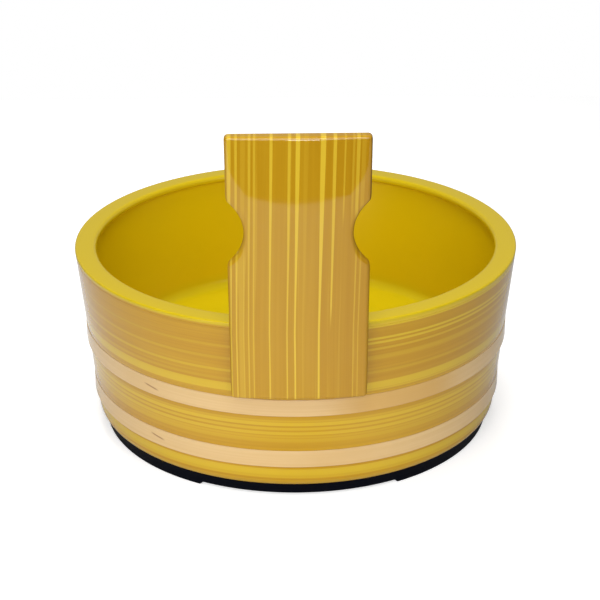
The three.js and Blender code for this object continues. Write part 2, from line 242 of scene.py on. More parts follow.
def new_material(name, **settings):
    """A material with a Principled shader, whose plain values are set on its own sockets."""
    material = bpy.data.materials.new(name)
    material.use_nodes = True
    shader = material.node_tree.nodes["Principled BSDF"]
    for socket, value in settings.items():
        shader.inputs[socket.replace("_", " ")].default_value = value
    return material, material.node_tree, shader


def put_on_tub(piece, material, node):
    """Gives a piece its finish and its place in the assembly."""
    piece.data.materials.clear()
    piece.data.materials.append(material)
    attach(piece, "root")
    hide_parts(node)


foot_out = wall_radius(0) - FOOT_INSET
foot_in = foot_out - FOOT_WIDTH
foot_top = wall_radius(FOOT_HEIGHT) - FOOT_INSET
base = turned_piece("base_moulding", [
    (POLE_RADIUS, PLATE_BOTTOM),
    (foot_in, PLATE_BOTTOM),
    (foot_in, 0),
    (foot_out, 0),
    (foot_top, FOOT_HEIGHT),
    (inside_shell(FOOT_HEIGHT) - FIT, FOOT_HEIGHT),
    (inside_shell(SPIGOT_TOP) - FIT, SPIGOT_TOP),
    (inside_shell(SPIGOT_TOP) - FIT - SPIGOT_WALL, SPIGOT_TOP),
    (inside_shell(PLATE_TOP) - FIT - SPIGOT_WALL, PLATE_TOP),
    (POLE_RADIUS, PLATE_TOP),
])
close_pole(base, PLATE_BOTTOM)
close_pole(base, PLATE_TOP)
round_ring(base, (foot_in, 0), FOOT_EDGE, segments=3)
round_ring(base, (foot_out, 0), FOOT_EDGE, segments=3)


def in_foot_gap(corner):
    """Whether a corner of the foot ring's underside lies in a gap between two feet."""
    turn = math.atan2(corner.y - AXIS_Y, corner.x)
    turned = [math.remainder(turn - middle, math.tau) for middle in GAP_MIDDLES]
    return corner.z < FOOT_EDGE + NEAR and min(map(abs, turned)) < GAP_HALF_ANGLE


select_corners(base, in_foot_gap)
bpy.ops.transform.translate(value=(0, 0, GAP_HEIGHT))
bpy.ops.object.mode_set(mode="OBJECT")
finish_mesh(base)

BLACK = srgb(3, 5, 14)
SOFT_BLACK = srgb(6, 8, 19)
SATIN = (0.42, 0.58)  # least and most roughness
black, tree, shader = new_material("satin_black", Specular_IOR_Level=0.05)
place = add_node(tree, "ShaderNodeTexCoord").outputs["Object"]
cloud = cloudy(tree, place, scale=60, detail=3)
feed(tree, shader.inputs["Base Color"], mix_colour(tree, cloud, BLACK, SOFT_BLACK))
skin = cloudy(tree, place, scale=900, detail=2)
feed(tree, shader.inputs["Roughness"], spread(tree, skin, 0.3, 0.7, *SATIN))
put_on_tub(base, black, "base")

# Outer shell: the tapered outside wall, a moulding that the hoops are let into.
# It is brown lacquer brushed round with yellow streaks, under a clear gloss coat. Its rounded lower
# edge is glued over the base's spigot, and a flat pad inside it takes the handle's screws.
HOOP_BOXES = [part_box("lower_hoop"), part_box("upper_hoop")]
HOOP_THICKNESS = 0.002
GROOVE_GAP = 0.0001  # open joint above and below a hoop
HOOP_STAND = 0.0002  # how far a hoop's upper edge stands out from the wall
SHELL_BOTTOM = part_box("outer_shell")[0].z
SHELL_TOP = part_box("outer_shell")[1].z
SHELL_TOP_EDGE = 0.0001
SHELL_ROUND_WIDTH = 0.0036
SHELL_ROUND_HEIGHT = 0.0055
SHELL_ROUND_STEPS = 10
SCREWS = [frame["nodes"][f"handle_screw_{number}"] for number in (1, 2, 3, 4)]
SCREW_BOXES = [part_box(screw.name) for screw in SCREWS]
PAD_EDGE = 0.0016
PAD_ROOT = 0.0029  # depth in the wall where the pad begins
PAD_LAND = 0.0004  # how far the pad's face stands in from the wall at the outer screws

BROWN = srgb(194, 146, 20)
DARK_BROWN = srgb(186, 137, 16)
YELLOW = srgb(214, 181, 36)
GLOSS = {
    "Roughness": 0.45,
    "Specular_IOR_Level": 0,
    "Coat_Weight": 1,
    "Coat_Roughness": 0.04,
    "Coat_IOR": 1.5,
}

# Bands of yellow paint, and one painted highlight, as (height, half width, strength): all round, right and
# left of the handle.
BANDS_ROUND = [
    (0.0646, 0.0016, 0.8),
    (0.0162, 0.0016, 0.8),
    (0.0136, 0.0006, 0.6),
    # Painted highlight, not paint: this weak band lightens the rounded lower edge where the white table's
    # reflection falls.
    (0.0100, 0.0012, 0.3),
    (0.0451, 0.0007, 0.75),
    (0.0470, 0.0003, 0.45),
    (0.0424, 0.0005, 0.6),
    (0.0396, 0.0006, 0.7),
    (0.0375, 0.0003, 0.4),
    (0.0355, 0.0008, 0.4),
]
BANDS_RIGHT = [
    (0.0994, 0.0016, 1.0),
    (0.0913, 0.0003, 0.95),
    (0.0890, 0.0003, 0.9),
    (0.0855, 0.0003, 0.5),
    (0.0807, 0.0010, 0.3),
    (0.0723, 0.0005, 0.3),
    (0.0621, 0.0002, 0.7),
]
BANDS_LEFT = [
    (0.0880, 0.0003, 0.35),
    (0.0812, 0.0004, 0.35),
    (0.0743, 0.0004, 0.6),
    (0.0694, 0.0004, 0.3),
    (0.0658, 0.0012, 0.75),
]
BAND_EDGE = 0.0006
BAND_SWAY = 0.0012
SIDE_BANDS_START = 0.1  # turns from the handle between which the bands of one side come and go
SIDE_BANDS_FULL = 0.3
SIDE_BANDS_FADE = 2.2
SIDE_BANDS_END = 2.9
LOOSE_STREAK = 0.25  # strength of the streaks and broad patches that lie anywhere
LOOSE_BROAD = 0.12


def hoop_inside(high):
    """Radius of the inner face of a hoop, a straight strip, from its upper corner."""
    return wall_radius(high.z) + HOOP_STAND - HOOP_THICKNESS


def new_group(name, inputs, outputs):
    """A shader node group with named sockets, and its input and output nodes."""
    group = bpy.data.node_groups.new(name, "ShaderNodeTree")
    for socket, kind in inputs:
        group.interface.new_socket(socket, in_out="INPUT", socket_type=kind)
    for socket, kind in outputs:
        group.interface.new_socket(socket, in_out="OUTPUT", socket_type=kind)
    return group, group.nodes.new("NodeGroupInput"), group.nodes.new("NodeGroupOutput")


def add_group(tree, group, **inputs):
    """Places a node group with its own values and returns its outputs."""
    node = add_node(tree, "ShaderNodeGroup", node_tree=group)
    for name, source in inputs.items():
        feed(tree, node.inputs[name.replace("_", " ")], source)
    return node.outputs


# Where a point lies on the tub: its turn round the axis, 0 at the handle and growing to the right,
# its height, its radius and its place from the axis.
tub_place, _, put_out = new_group("tub_place", [], [
    ("Turn", "NodeSocketFloat"),
    ("Height", "NodeSocketFloat"),
    ("Radius", "NodeSocketFloat"),
    ("Place", "NodeSocketVector"),
])
place = add_node(tub_place, "ShaderNodeTexCoord").outputs["Object"]
centred = add_node(tub_place, "ShaderNodeVectorMath", place, tuple(-AXIS), operation="ADD").outputs[0]
part = add_node(tub_place, "ShaderNodeSeparateXYZ", centred).outputs
front = calc(tub_place, "MULTIPLY", part["Y"], -1)
across = calc(tub_place, "MULTIPLY", part["X"], part["X"])
radius = calc(tub_place, "SQRT", calc(tub_place, "MULTIPLY_ADD", part["Y"], part["Y"], across))
feed(tub_place, put_out.inputs["Turn"], calc(tub_place, "ARCTAN2", part["X"], front))
feed(tub_place, put_out.inputs["Height"], part["Z"])
feed(tub_place, put_out.inputs["Radius"], radius)
feed(tub_place, put_out.inputs["Place"], centred)

# Brush streaks in lacquer. The vector has the stroke in X and Y and the way across it in Z.
brush_streaks, take_in, put_out = new_group("brush_streaks", [
    ("Vector", "NodeSocketVector"),
    ("Seed", "NodeSocketFloat"),
], [
    ("Fine", "NodeSocketFloat"),
    ("Streak", "NodeSocketFloat"),
    ("Broad", "NodeSocketFloat"),
])
for name, stroke, pitch, low, high in (
    ("Fine", 9, 900, 0.32, 0.68),
    ("Streak", 6, 450, 0.60, 0.70),
    ("Broad", 7, 120, 0.40, 0.65),
):
    stretched = add_node(brush_streaks, "ShaderNodeVectorMath", operation="MULTIPLY")
    feed(brush_streaks, stretched.inputs[0], take_in.outputs["Vector"])
    feed(brush_streaks, stretched.inputs[1], (stroke, stroke, pitch))
    noise = add_node(brush_streaks, "ShaderNodeTexNoise", noise_dimensions="4D")
    feed(brush_streaks, noise.inputs["Vector"], stretched.outputs[0])
    feed(brush_streaks, noise.inputs["W"], take_in.outputs["Seed"])
    feed(brush_streaks, noise.inputs["Scale"], 1)
    feed(brush_streaks, put_out.inputs[name], spread(brush_streaks, noise.outputs["Fac"], low, high))

# A single band of paint: 1 within a half width of its centre, fading over a soft edge.
paint_band, take_in, put_out = new_group("paint_band", [
    ("Position", "NodeSocketFloat"),
    ("Centre", "NodeSocketFloat"),
    ("Half Width", "NodeSocketFloat"),
    ("Edge", "NodeSocketFloat"),
], [("Mask", "NodeSocketFloat")])
apart = calc(paint_band, "SUBTRACT", take_in.outputs["Position"], take_in.outputs["Centre"])
apart = calc(paint_band, "ABSOLUTE", apart)
outer = calc(paint_band, "ADD", take_in.outputs["Half Width"], take_in.outputs["Edge"])
feed(paint_band, put_out.inputs["Mask"], spread(paint_band, apart, outer, take_in.outputs["Half Width"]))


def lay_bands(tree, position, bands, edge, taper=None):
    """The mask of several painted bands, given as (centre, half width, strength)."""
    mask = 0
    for centre, half_width, strength in bands:
        if taper is not None:
            half_width = calc(tree, "MULTIPLY", taper, half_width)
        size = {"Centre": centre, "Half_Width": half_width, "Edge": edge}
        band = add_group(tree, paint_band, Position=position, **size)["Mask"]
        mask = calc(tree, "MAXIMUM", mask, calc(tree, "MULTIPLY", band, strength))
    return mask


def wall_colour(tree):
    """The streaked colour of the tub's outside: brown ground, fine lines, yellow bands and a weak painted
    highlight low down.
    """
    at = add_group(tree, tub_place)
    sway = calc(tree, "SUBTRACT", cloudy(tree, at["Place"], scale=9, detail=1), 0.5)
    sway = calc(tree, "MULTIPLY", sway, BAND_SWAY)
    height = calc(tree, "ADD", at["Height"], sway)
    part = add_node(tree, "ShaderNodeSeparateXYZ", at["Place"]).outputs
    stroke = add_node(tree, "ShaderNodeCombineXYZ", part["X"], part["Y"], height).outputs[0]
    brush = add_group(tree, brush_streaks, Vector=stroke, Seed=3.7)
    ground = mix_colour(tree, brush["Fine"], DARK_BROWN, BROWN)
    bands = lay_bands(tree, height, BANDS_ROUND, BAND_EDGE)
    fading = spread(tree, calc(tree, "ABSOLUTE", at["Turn"]), SIDE_BANDS_END, SIDE_BANDS_FADE)
    left_turn = calc(tree, "MULTIPLY", at["Turn"], -1)
    for side_bands, turn in ((BANDS_RIGHT, at["Turn"]), (BANDS_LEFT, left_turn)):
        reach = calc(tree, "MULTIPLY", spread(tree, turn, SIDE_BANDS_START, SIDE_BANDS_FULL), fading)
        painted = calc(tree, "MULTIPLY", lay_bands(tree, height, side_bands, BAND_EDGE), reach)
        bands = calc(tree, "MAXIMUM", bands, painted)
    broad = calc(tree, "MULTIPLY", brush["Broad"], LOOSE_BROAD)
    loose = calc(tree, "MULTIPLY_ADD", brush["Streak"], LOOSE_STREAK, broad)
    return mix_colour(tree, calc(tree, "MAXIMUM", loose, bands, clamp=True), ground, YELLOW)


def combine(piece, tool, operation):
    """Cuts a tool out of a piece, or joins it on, and throws the tool away."""
    bpy.context.view_layer.objects.active = piece
    change = piece.modifiers.new("change", "BOOLEAN")
    change.operation = operation
    change.solver = "EXACT"
    change.object = tool
    bpy.ops.object.modifier_apply(modifier=change.name)
    bpy.data.objects.remove(tool)


def screw_drill():
    """A copy of the four screws, made a little fatter, that cuts their holes."""
    bpy.ops.object.select_all(action="DESELECT")
    for screw in SCREWS:
        screw.select_set(True)
    bpy.context.view_layer.objects.active = SCREWS[0]
    bpy.ops.object.duplicate()
    bpy.ops.object.parent_clear(type="CLEAR_KEEP_TRANSFORM")
    bpy.ops.object.join()
    drill = bpy.context.object
    bpy.ops.object.mode_set(mode="EDIT")
    bpy.ops.mesh.select_all(action="SELECT")
    bpy.ops.mesh.remove_doubles(threshold=NEAR)
    bpy.ops.mesh.normals_make_consistent(inside=False)
    bpy.ops.transform.shrink_fatten(value=FIT)
    bpy.ops.object.mode_set(mode="OBJECT")
    return drill


round_turn = math.atan(WALL_SLOPE * SHELL_ROUND_HEIGHT / SHELL_ROUND_WIDTH)
round_end = SHELL_BOTTOM + SHELL_ROUND_HEIGHT * (1 - math.sin(round_turn))
round_middle = wall_radius(round_end) - SHELL_ROUND_WIDTH * math.cos(round_turn)
shell_profile = [(inside_shell(SHELL_BOTTOM), SHELL_BOTTOM)]
for step in range(SHELL_ROUND_STEPS + 1):
    turn = math.pi / 2 + (round_turn - math.pi / 2) * step / SHELL_ROUND_STEPS
    radius = round_middle + SHELL_ROUND_WIDTH * math.cos(turn)
    shell_profile.append((radius, SHELL_BOTTOM + SHELL_ROUND_HEIGHT * (1 - math.sin(turn))))
for low, high in HOOP_BOXES:
    groove_low = low.z - GROOVE_GAP
    groove_high = high.z + GROOVE_GAP
    shell_profile += [
        (wall_radius(groove_low), groove_low),
        (hoop_inside(high) - FIT, groove_low),
        (hoop_inside(high) - FIT, groove_high),
        (wall_radius(groove_high), groove_high),
    ]
shell_profile += [
    (wall_radius(SHELL_TOP - SHELL_TOP_EDGE), SHELL_TOP - SHELL_TOP_EDGE),
    (wall_radius(SHELL_TOP) - SHELL_TOP_EDGE, SHELL_TOP),
    (inside_shell(SHELL_TOP), SHELL_TOP),
]
shell = turned_piece("shell_wall", shell_profile)
join_ends(shell, shell_profile[0], shell_profile[-1])

screws_low = min(low.z for low, _ in SCREW_BOXES)
screws_high = max(high.z for _, high in SCREW_BOXES)
screws_side = max(high.x for _, high in SCREW_BOXES)
pad_height = (screws_low + screws_high) / 2
wall_inside = inside_shell(pad_height)
pad_depth = wall_inside - math.sqrt(wall_inside ** 2 - screws_side ** 2) + PAD_LAND
pad_size = (
    2 * (screws_side + PAD_EDGE),
    SHELL_WALL + pad_depth - PAD_ROOT,
    screws_high - screws_low + 2 * PAD_EDGE,
)
pad_y = AXIS_Y - wall_radius(pad_height) + PAD_ROOT + pad_size[1] / 2
bpy.ops.object.select_all(action="DESELECT")
bpy.ops.mesh.primitive_cube_add(
    size=1,
    location=(0, pad_y, pad_height),
    rotation=(math.atan(WALL_SLOPE), 0, 0),
    scale=pad_size,
)
combine(shell, bpy.context.object, "UNION")
combine(shell, screw_drill(), "DIFFERENCE")
finish_mesh(shell)

streaked, tree, shader = new_material("streaked_lacquer", **GLOSS)
feed(tree, shader.inputs["Base Color"], wall_colour(tree))
put_on_tub(shell, streaked, "outer_shell")

# Hoops: two straight strips of pale wood, bent round the tub and let into grooves in its outside.
# They are clear lacquered. The ends of each meet at the back in a joint on the bias, and the lower
# edge stands out further than the upper one because the wall tapers.
HOOP_EDGE = 0.0004
JOINT_LEAN = math.radians(35)
JOINT_CUT = (FIT, 0.02, 0.04)  # thin saw cut, longer and deeper than the hoop
PALE_WOOD = srgb(222, 188, 132)
WOOD_LINE = srgb(212, 175, 116)
GOLDEN_WOOD = srgb(205, 160, 82)
FLECK = srgb(146, 98, 52)
FLECK_TURN = math.radians(-40.4)
FLECK_HEIGHTS = [0.0545, 0.0247]
FLECK_SLANT = 0.02
FLECK_HALF_HEIGHT = 0.0001
FLECK_HEIGHT_EDGE = 0.0006
FLECK_STRENGTH = 0.8
FLECK_HALF_TURN = 0.02
FLECK_TURN_EDGE = 0.03
GRAIN_STRENGTH = 0.5
GOLDEN_PATCH = (0.47, 0.15, 0.8)  # turn, half width and strength of the patch on the upper hoop
GOLDEN_EDGE = 0.25

pale_wood, tree, shader = new_material("clear_lacquered_wood", **GLOSS)
at = add_group(tree, tub_place)
grain = add_group(tree, brush_streaks, Vector=at["Place"], Seed=8.2)
wood = mix_colour(tree, calc(tree, "MULTIPLY", grain["Fine"], GRAIN_STRENGTH), PALE_WOOD, WOOD_LINE)
cloud = cloudy(tree, at["Place"], scale=25, detail=2)
wood = mix_colour(tree, spread(tree, cloud, 0.5, 0.75, to_high=GRAIN_STRENGTH), wood, WOOD_LINE)
between_hoops = (HOOP_BOXES[0][1].z + HOOP_BOXES[1][0].z) / 2
upper = calc(tree, "GREATER_THAN", at["Height"], between_hoops)
golden = lay_bands(tree, at["Turn"], [GOLDEN_PATCH], GOLDEN_EDGE)
wood = mix_colour(tree, calc(tree, "MULTIPLY", golden, upper), wood, GOLDEN_WOOD)
along = calc(tree, "SUBTRACT", at["Turn"], FLECK_TURN)
level = calc(tree, "MULTIPLY_ADD", along, FLECK_SLANT, at["Height"])
fleck_lines = [(height, FLECK_HALF_HEIGHT, FLECK_STRENGTH) for height in FLECK_HEIGHTS]
fleck = lay_bands(tree, level, fleck_lines, FLECK_HEIGHT_EDGE)
fleck_length = lay_bands(tree, along, [(0, FLECK_HALF_TURN, 1)], FLECK_TURN_EDGE)
wood = mix_colour(tree, calc(tree, "MULTIPLY", fleck, fleck_length), wood, FLECK)
feed(tree, shader.inputs["Base Color"], wood)

for name, node, (low, high) in (
    ("lower_band", "lower_hoop", HOOP_BOXES[0]),
    ("upper_band", "upper_hoop", HOOP_BOXES[1]),
):
    inside = hoop_inside(high)
    outside = inside + HOOP_THICKNESS
    hoop = turned_piece(name, [(inside, low.z), (outside, low.z), (outside, high.z), (inside, high.z)])
    join_ends(hoop, (inside, low.z), (inside, high.z))
    round_ring(hoop, (outside, low.z), HOOP_EDGE, segments=4)
    round_ring(hoop, (outside, high.z), HOOP_EDGE, segments=4)
    bpy.ops.object.select_all(action="DESELECT")
    joint = (0, AXIS_Y + inside, (low.z + high.z) / 2)
    lean = (0, JOINT_LEAN, 0)
    bpy.ops.mesh.primitive_cube_add(size=1, location=joint, rotation=lean, scale=JOINT_CUT)
    combine(hoop, bpy.context.object, "DIFFERENCE")
    finish_mesh(hoop)
    put_on_tub(hoop, pale_wood, node)

# Handle: an upright board, crowned in front and flat behind, with a scallop each side for the fingers.
# It is brown lacquer brushed with yellow streaks up the board, under a clear gloss coat. Its foot is
# hollowed to the wall, and screws from inside the shell hold it.
HANDLE_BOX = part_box("handle")
HANDLE_BOTTOM = HANDLE_BOX[0].z
HANDLE_TOP = HANDLE_BOX[1].z
HANDLE_HALF_WIDTH = HANDLE_BOX[1].x
HANDLE_THICKNESS = 0.0088
HANDLE_CROWN = 0.155  # radius of the crowned front
TOP_CROWN = 0.3  # share of the crown that is left at the top edge
TOP_THINNING = 0.001
HANDLE_FLARE = 0.0006  # how much wider each side is at the top
HANDLE_EDGE = 0.0019
CROWN_STEPS = 8
CROWN_CIRCLE = 270  # points of the circle whose arc gives the crown
SEAT_DROP = 0.001  # how far below the rim the foot's hollow ends
SEAT_TOP = TUB_TOP - SEAT_DROP
SEAT_DEPTH = 0.006
CUT_SPARE = 0.01  # how far the cone that cuts the hollow runs past it
SQUARE_BACK = 0.9  # least Y of a normal on the board's back
SHARP_ANGLE = math.radians(50)  # least turn of an edge that is rounded off
SCALLOP_RISE = 0.0528
SCALLOP_MIDDLE = TUB_TOP + SCALLOP_RISE
SCALLOP_LENGTH = 0.0323
SCALLOP_DEPTH = 0.008
SCALLOP_SOFTNESS = 0.0012
SCALLOP_STEPS = 36
TOP_STEPS = 6
SCALLOP_RADIUS = (SCALLOP_LENGTH ** 2 / 4 + SCALLOP_DEPTH ** 2) / (2 * SCALLOP_DEPTH)

# Streaks of yellow paint up the board as (place at the top, half width, strength): from end to end,
# above the rim, above the scallops and below them.
LONG_STREAKS = [
    (-0.0223, 0.0004, 0.65),
    (-0.0200, 0.0004, 0.6),
    (-0.0122, 0.0005, 0.95),
    (-0.0039, 0.0005, 0.8),
    (0.0000, 0.0008, 1.0),
    (0.0038, 0.0009, 0.2),
    (0.0114, 0.0010, 1.0),
]
MIDDLE_STREAKS = [
    (0.0169, 0.0006, 0.85),
]
HIGH_STREAKS = [
    (-0.0317, 0.0007, 0.85),
    (-0.0285, 0.0004, 0.75),
    (-0.0253, 0.0010, 0.25),
    (0.0215, 0.0002, 0.55),
    (0.0254, 0.0003, 0.35),
    (0.0275, 0.0006, 0.65),
    (0.0300, 0.0008, 0.25),
]
LOW_STREAKS = [
    (-0.0307, 0.0004, 0.8),
    (-0.0281, 0.0006, 0.8),
    (-0.0257, 0.0040, 0.3),
    (-0.0246, 0.0004, 0.55),
    (0.0280, 0.0004, 0.45),
    (0.0302, 0.0004, 0.4),
]
STREAK_EDGE = 0.0004
STREAK_LEAN = 0.002  # how far the streaks stray sideways on their way down
STREAK_WOBBLE = 0.0002
STREAK_THINNING = 0.25  # share of a streak's width that is left at the rim
HANDLE_LOOSE_STREAK = 0.2
HANDLE_LOOSE_BROAD = 0.06
FINE_SHADE = 0.45
RIGHT_SHADE = 0.5  # how much darker the right side is painted
RIGHT_SHADE_REACH = 0.025
HANDLE_BROWN = srgb(188, 142, 25)
HANDLE_SHADE = srgb(178, 130, 19)
STREAK_YELLOW = srgb(219, 184, 52)
# Painted shade: the board's right edge is painted brown where its normal turns to the side.
EDGE_PAINTED_SHADE = srgb(132, 94, 16)
EDGE_SHADE_TURN = (0.55, 0.9)  # X of the normal over which the right edge turns brown
EDGE_SHADE_LOW_SHARE = 0.1  # share of that brown below the scallop
COAT_TURN = (0.4, 0.8)  # X of the normal over which the coat thins
SIDE_COAT = 0.25


def handle_half_width(height):
    """Half the board's width, drawn in by the scallops."""
    along = min(abs(height - SCALLOP_MIDDLE), SCALLOP_RADIUS)
    bite = SCALLOP_DEPTH - SCALLOP_RADIUS + math.sqrt(SCALLOP_RADIUS ** 2 - along ** 2)
    flare = HANDLE_FLARE * (height - HANDLE_BOTTOM) / (HANDLE_TOP - HANDLE_BOTTOM)
    return HANDLE_HALF_WIDTH + flare - (bite + math.hypot(bite, SCALLOP_SOFTNESS)) / 2


def handle_back(height):
    """Where the board's flat back stands at a height."""
    return AXIS_Y - wall_radius(height) - FIT


bpy.ops.object.select_all(action="DESELECT")
crown_middle = (0, handle_back(HANDLE_BOTTOM) - HANDLE_THICKNESS + HANDLE_CROWN, HANDLE_BOTTOM)
bpy.ops.mesh.primitive_circle_add(vertices=CROWN_CIRCLE, radius=HANDLE_CROWN, location=crown_middle)
handle = bpy.context.object
handle.name = handle.data.name = "handle_board"
bpy.ops.object.transform_apply(location=True)
arc_end = HANDLE_CROWN * math.sin(math.tau * (CROWN_STEPS + 0.5) / CROWN_CIRCLE)
select_corners(handle, lambda corner: abs(corner.x) > arc_end or corner.y > crown_middle[1])
bpy.ops.mesh.delete(type="VERT")
bpy.ops.mesh.select_all(action="SELECT")
widen = HANDLE_HALF_WIDTH / (HANDLE_CROWN * math.sin(math.tau * CROWN_STEPS / CROWN_CIRCLE))
bpy.ops.transform.resize(value=(widen, 1, 1), center_override=crown_middle)
bpy.ops.mesh.extrude_region_move(TRANSFORM_OT_translate={"value": (0, HANDLE_THICKNESS, 0)})
back_line = (0, handle_back(HANDLE_BOTTOM), HANDLE_BOTTOM)
bpy.ops.transform.resize(value=(1, 0, 1), center_override=back_line)
bpy.ops.mesh.select_all(action="SELECT")

rows = [SEAT_TOP]
for step in range(-SCALLOP_STEPS, SCALLOP_STEPS + 1):
    rows.append(SCALLOP_MIDDLE + SCALLOP_RADIUS * step / SCALLOP_STEPS)
flat_from = rows[-1]
for step in range(1, TOP_STEPS + 1):
    rows.append(flat_from + (HANDLE_TOP - flat_from) * step / TOP_STEPS)
height = HANDLE_BOTTOM
for row in rows:
    step = {"value": (0, handle_back(row) - handle_back(height), row - height)}
    bpy.ops.mesh.extrude_region_move(TRANSFORM_OT_translate=step)
    narrow = handle_half_width(row) / handle_half_width(height)
    bpy.ops.transform.resize(value=(narrow, 1, 1), center_override=(0, handle_back(row), row))
    height = row

# A narrower row takes a shorter piece of the same crown, which falls away less at its ends, and
# towards the top the board gets flatter and thinner.
for row in rows:
    front = handle_back(row) - HANDLE_THICKNESS
    flatter = max(row - flat_from, 0) / (HANDLE_TOP - flat_from)
    shallow = (handle_half_width(row) / HANDLE_HALF_WIDTH) ** 2 * (1 - (1 - TOP_CROWN) * flatter)
    select_corners(handle, lambda corner: abs(corner.z - row) < NEAR and corner.y < handle_back(row) - NEAR)
    bpy.ops.transform.resize(value=(1, shallow, 1), center_override=(0, front, row))
    bpy.ops.transform.translate(value=(0, TOP_THINNING * flatter, 0))
bpy.ops.mesh.select_all(action="SELECT")
bpy.ops.mesh.normals_make_consistent(inside=False)

bpy.ops.mesh.select_mode(type="FACE")
bpy.ops.mesh.select_all(action="DESELECT")
mesh = bmesh.from_edit_mesh(handle.data)
for face in mesh.faces:
    face.select_set(face.normal.y > SQUARE_BACK and face.calc_center_median().z < SEAT_TOP)
bmesh.update_edit_mesh(handle.data)
bpy.ops.mesh.extrude_region_move(TRANSFORM_OT_translate={"value": (0, SEAT_DEPTH, 0)})


def board_edge(edge):
    """A test for the outer edges of the board, but not those that the tub's wall cuts off."""
    middle = (edge.verts[0].co + edge.verts[1].co) / 2
    behind = middle.y > handle_back(middle.z) + NEAR
    return edge.calc_face_angle(0) > SHARP_ANGLE and edge.is_convex and not behind


select_edges(handle, board_edge)
bpy.ops.mesh.bevel(offset=HANDLE_EDGE, segments=5, affect="EDGES")
bpy.ops.object.mode_set(mode="OBJECT")

cut_low = HANDLE_BOTTOM - CUT_SPARE
cut_high = TUB_TOP + CUT_SPARE
bpy.ops.object.select_all(action="DESELECT")
bpy.ops.mesh.primitive_cone_add(
    vertices=RING_STEPS,
    radius1=wall_radius(cut_low) + FIT,
    radius2=wall_radius(cut_high) + FIT,
    depth=cut_high - cut_low,
    location=(0, AXIS_Y, (cut_low + cut_high) / 2),
)
combine(handle, bpy.context.object, "DIFFERENCE")
combine(handle, screw_drill(), "DIFFERENCE")
finish_mesh(handle)

handle_finish, tree, shader = new_material("handle_lacquer", **GLOSS)
place = add_node(tree, "ShaderNodeTexCoord").outputs["Object"]
part = add_node(tree, "ShaderNodeSeparateXYZ", place).outputs
lean = add_node(tree, "ShaderNodeMapRange", part["Z"], HANDLE_TOP, TUB_TOP, 0, STREAK_LEAN).outputs[0]
across = calc(tree, "ADD", part["X"], lean)
stroke = add_node(tree, "ShaderNodeCombineXYZ", part["Z"], part["Y"], across).outputs[0]
brush = add_group(tree, brush_streaks, Vector=stroke, Seed=1.3)
shade = calc(tree, "MULTIPLY", brush["Fine"], FINE_SHADE)
to_right = spread(tree, part["X"], 0, RIGHT_SHADE_REACH)
shade = calc(tree, "MULTIPLY_ADD", to_right, RIGHT_SHADE, shade)
ground = mix_colour(tree, shade, HANDLE_BROWN, HANDLE_SHADE)
wobble = calc(tree, "MULTIPLY", calc(tree, "SUBTRACT", brush["Broad"], 0.5), STREAK_WOBBLE)
across = calc(tree, "ADD", across, wobble)
taper = spread(tree, part["Z"], HANDLE_TOP, TUB_TOP, 1, STREAK_THINNING)
bands = lay_bands(tree, across, LONG_STREAKS, STREAK_EDGE, taper)
for streaks, first, last in (
    (MIDDLE_STREAKS, TUB_TOP, TUB_TOP + SCALLOP_LENGTH / 2),
    (HIGH_STREAKS, SCALLOP_MIDDLE, SCALLOP_MIDDLE + SCALLOP_LENGTH / 2),
    (LOW_STREAKS, SCALLOP_MIDDLE, SCALLOP_MIDDLE - SCALLOP_LENGTH / 2),
):
    short = lay_bands(tree, across, streaks, STREAK_EDGE, taper)
    reach = spread(tree, part["Z"], first, last)
    bands = calc(tree, "MAXIMUM", bands, calc(tree, "MULTIPLY", short, reach))
broad = calc(tree, "MULTIPLY", brush["Broad"], HANDLE_LOOSE_BROAD)
loose = calc(tree, "MULTIPLY_ADD", brush["Streak"], HANDLE_LOOSE_STREAK, broad)
finish = mix_colour(tree, calc(tree, "MAXIMUM", loose, bands, clamp=True), ground, STREAK_YELLOW)

# The right edge, where it faces sideways, is painted browner above the scallop as painted shade, and the
# coat is thinner on both sides.
facing = add_node(tree, "ShaderNodeNewGeometry").outputs["Normal"]
sideways = add_node(tree, "ShaderNodeSeparateXYZ", facing).outputs["X"]
scallop_end = SCALLOP_MIDDLE + SCALLOP_LENGTH / 2
above = spread(tree, part["Z"], SCALLOP_MIDDLE, scallop_end, to_low=EDGE_SHADE_LOW_SHARE)
right_edge_shade = calc(tree, "MULTIPLY", spread(tree, sideways, *EDGE_SHADE_TURN), above)
feed(tree, shader.inputs["Base Color"], mix_colour(tree, right_edge_shade, finish, EDGE_PAINTED_SHADE))
either_side = calc(tree, "ABSOLUTE", sideways)
feed(tree, shader.inputs["Coat Weight"], spread(tree, either_side, *COAT_TURN, 1, SIDE_COAT))
put_on_tub(handle, handle_finish, "handle")

# Handle screws: four plain steel countersunk screws, driven out through the shell into the handle.
# They are hidden once the bowl is in, and keep the shape that the frame gives them.
STEEL = srgb(150, 151, 154)
BRIGHT_STEEL = srgb(190, 191, 194)
steel, tree, shader = new_material("screw_steel", Metallic=1, Roughness=0.35)
place = add_node(tree, "ShaderNodeTexCoord").outputs["Object"]
cloud = cloudy(tree, place, scale=700, detail=3)
feed(tree, shader.inputs["Base Color"], mix_colour(tree, cloud, STEEL, BRIGHT_STEEL))
for screw in SCREWS:
    screw.data.materials.clear()
    screw.data.materials.append(steel)

